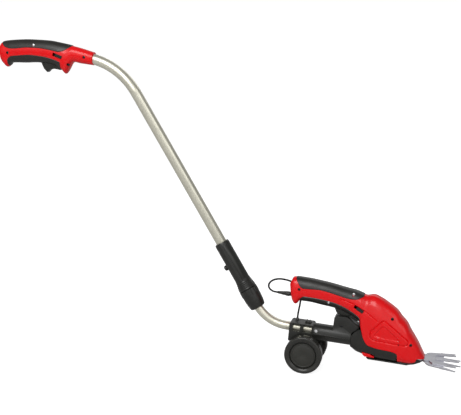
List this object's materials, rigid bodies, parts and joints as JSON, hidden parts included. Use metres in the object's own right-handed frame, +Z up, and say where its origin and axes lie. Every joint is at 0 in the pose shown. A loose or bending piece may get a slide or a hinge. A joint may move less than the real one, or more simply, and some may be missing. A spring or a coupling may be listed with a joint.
{
  "type": "grass shears",
  "caption": "Cordless grass shears with a red and black handgrip housing and forked blades, docked on a wheeled, telescopic cranked pole with its own trigger handle and cable.",
  "frame": {"origin": "middle of the upper hand grip, on the plane of symmetry", "axes": "+X forward along the blades, +Y to the tool's left, +Z up"},
  "size_m": [1.008, 0.1002, 0.6113],
  "materials": {
    "red_shell": "moulded gloss red plastic, fine moulding texture",
    "soft_grip": "soft-touch black rubber with a fine leather-like grain",
    "black_plastic": "moulded black plastic, semi-matt",
    "grey_plastic": "moulded charcoal plastic, semi-matt",
    "champagne_tube": "satin anodised tube",
    "tyre_plastic": "hard black wheel ring, smooth",
    "steel": "zinc-plated or plain steel",
    "blade_steel": "ground blade steel",
    "dark_steel": "black-oxide screws",
    "motor_steel": "pressed steel motor can",
    "cell_wrap": "shrink-wrapped battery cell",
    "board": "solder-masked circuit board",
    "gear_plastic": "moulded acetal gear",
    "lead_jacket": "flexible black cable jacket"
  },
  "bodies": {
    "upper_pole": {"pole_handle_right": "red_shell", "pole_handle_left": "red_shell", "pole_top_grip": "soft_grip", "pole_lower_grip": "soft_grip", "pole_trigger_pin": "steel", "pole_trigger_spring": "steel", "pole_switch": "black_plastic", "pole_handle_screws": "dark_steel", "upper_tube": "champagne_tube", "clamp_sleeve": "black_plastic", "sleeve_screw": "black_plastic", "clamp_collet": "grey_plastic"},
    "pole_trigger": {"pole_trigger": "black_plastic"},
    "pole_lock": {"pole_lock_slider": "black_plastic"},
    "clamp_nut": {"clamp_nut": "black_plastic"},
    "lower_pole": {"lower_tube": "champagne_tube", "tube_guide_bush": "grey_plastic", "adapter_right": "black_plastic", "adapter_left": "black_plastic", "adapter_screws": "steel", "wheel_bracket": "black_plastic", "wheel_axle": "steel", "axle_clips": "steel", "lead_gland": "black_plastic", "lead": "lead_jacket", "lead_plug": "black_plastic", "shears_right": "red_shell", "shears_left": "red_shell", "shears_top_grip": "soft_grip", "shears_lower_grip": "soft_grip", "shears_trigger_pin": "steel", "shears_trigger_spring": "steel", "shears_switch": "black_plastic", "charge_socket": "black_plastic", "battery_cells": "cell_wrap", "circuit_board": "board", "motor_can": "motor_steel", "gear_axle": "steel", "gearbox_plate": "black_plastic", "shears_base": "black_plastic", "sole_plate": "black_plastic", "fixed_blade": "blade_steel", "blade_pivot": "steel", "shears_screws": "dark_steel"},
    "wheel_right": {"wheel_right_rim": "grey_plastic", "wheel_right_tyre": "tyre_plastic", "wheel_right_cap": "grey_plastic"},
    "wheel_left": {"wheel_left_rim": "grey_plastic", "wheel_left_tyre": "tyre_plastic", "wheel_left_cap": "grey_plastic"},
    "latch": {"latch_slider": "black_plastic"},
    "shears_trigger": {"shears_trigger": "black_plastic"},
    "shears_lock": {"shears_lock_slider": "black_plastic"},
    "release_right": {"release_right": "red_shell"},
    "release_left": {"release_left": "red_shell"},
    "drive_gear": {"drive_gear": "gear_plastic"},
    "motor_rotor": {"motor_rotor": "motor_steel"},
    "moving_blade": {"moving_blade": "blade_steel"}
  },
  "joints": [
    {"name": "pole_trigger", "type": "hinge", "parent": "upper_pole", "child": "pole_trigger", "pos_m": [0.059, 0, -0.013], "axis": [0, 1, 0], "range_deg": [0, 6], "stiffness_Nm_per_rad": 0.6, "springref_deg": -5.73, "deforming": ["pole_trigger_spring"]},
    {"name": "pole_lock", "type": "slide", "parent": "upper_pole", "child": "pole_lock", "axis": [-0.9613, 0, 0.2756], "range_m": [0, 0.005], "stiffness_N_per_m": 300, "springref_m": -0.001},
    {"name": "clamp_nut", "type": "hinge", "parent": "upper_pole", "child": "clamp_nut", "pos_m": [0.539, 0, -0.504], "axis": [-0.5783, 0, 0.8158], "range_deg": [0, 90]},
    {"name": "pole_extend", "type": "slide", "parent": "upper_pole", "child": "lower_pole", "axis": [0.5783, 0, -0.8158], "range_m": [0, 0.2]},
    {"name": "wheel_right_spin", "type": "hinge", "parent": "lower_pole", "child": "wheel_right", "pos_m": [0.625, -0.0365, -0.547], "axis": [0, 1, 0], "continuous": true},
    {"name": "wheel_left_spin", "type": "hinge", "parent": "lower_pole", "child": "wheel_left", "pos_m": [0.625, 0.0365, -0.547], "axis": [0, 1, 0], "continuous": true},
    {"name": "latch_slide", "type": "slide", "parent": "lower_pole", "child": "latch", "axis": [1, 0, 0], "range_m": [0, 0.004], "stiffness_N_per_m": 300, "springref_m": -0.001},
    {"name": "shears_trigger", "type": "hinge", "parent": "lower_pole", "child": "shears_trigger", "pos_m": [0.72, 0, -0.457], "axis": [0, 1, 0], "range_deg": [0, 6], "stiffness_Nm_per_rad": 0.6, "springref_deg": -5.73, "deforming": ["shears_trigger_spring"]},
    {"name": "shears_lock", "type": "slide", "parent": "lower_pole", "child": "shears_lock", "axis": [-0.8829, 0, 0.4695], "range_m": [0, 0.005], "stiffness_N_per_m": 300, "springref_m": -0.001},
    {"name": "release_right_press", "type": "slide", "parent": "lower_pole", "child": "release_right", "axis": [0, 1, 0], "range_m": [0, 0.0025], "stiffness_N_per_m": 500, "springref_m": -0.001},
    {"name": "release_left_press", "type": "slide", "parent": "lower_pole", "child": "release_left", "axis": [0, -1, 0], "range_m": [0, 0.0025], "stiffness_N_per_m": 500, "springref_m": -0.001},
    {"name": "gear_spin", "type": "hinge", "parent": "lower_pole", "child": "drive_gear", "pos_m": [0.807, 0, -0.504], "axis": [0, 0, 1], "continuous": true},
    {"name": "motor_spin", "type": "hinge", "parent": "lower_pole", "child": "motor_rotor", "pos_m": [0.783, 0, -0.504], "axis": [0, 0, 1], "continuous": true},
    {"name": "moving_blade_swing", "type": "hinge", "parent": "lower_pole", "child": "moving_blade", "pos_m": [0.847, 0, -0.526], "axis": [0, 0, 1], "range_deg": [-7, 7]}
  ],
  "couplings": [
    {"joint": "motor_spin", "follows": "gear_spin", "ratio": -5}
  ]
}
